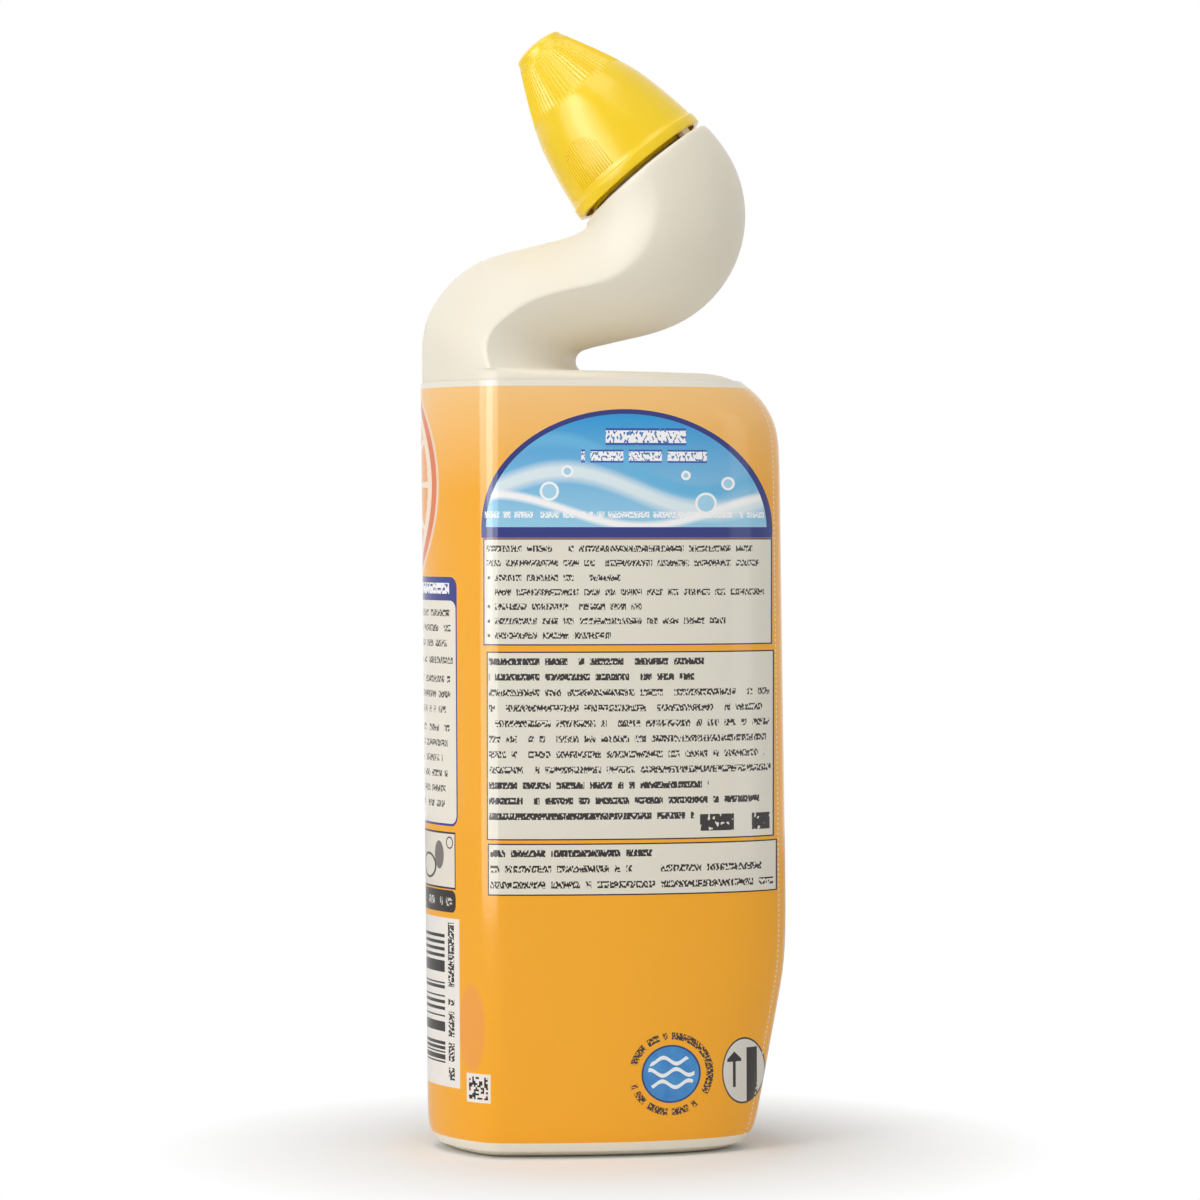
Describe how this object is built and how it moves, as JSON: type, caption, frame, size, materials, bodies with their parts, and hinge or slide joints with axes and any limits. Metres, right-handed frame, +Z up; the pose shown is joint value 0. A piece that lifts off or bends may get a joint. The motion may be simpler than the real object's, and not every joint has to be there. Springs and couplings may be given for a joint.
{
  "type": "toilet cleaner bottle",
  "caption": "Flat-sided duck-neck bottle for liquid toilet cleaner, with a printed shrink sleeve, a dropper insert in its mouth and a fluted squeeze-and-turn cap.",
  "frame": {"origin": "middle of the footprint on the surface the bottle stands on", "axes": "+Z up, the broad faces look along -Y and +Y, the neck rises from the -X side and the mouth leans back towards -X"},
  "size_m": [0.0952, 0.0558, 0.2861],
  "materials": {
    "ivory_hdpe": "satin blow-moulded HDPE, ivory",
    "printed_film": "glossy printed shrink film, orange with a blue arched panel and pale text boxes",
    "natural_ldpe": "soft satin LDPE, natural white",
    "yellow_pp": "semi-gloss injection-moulded PP, yellow"
  },
  "bodies": {
    "pack": {"bottle": "ivory_hdpe", "sleeve": "printed_film", "dropper_insert": "natural_ldpe"},
    "cap": {"cap": "yellow_pp"}
  },
  "joints": [
    {"name": "cap_lift", "type": "slide", "parent": "pack", "child": "cap", "axis": [-0.6401, 0, 0.7683], "range_m": [0, 0.046]}
  ]
}
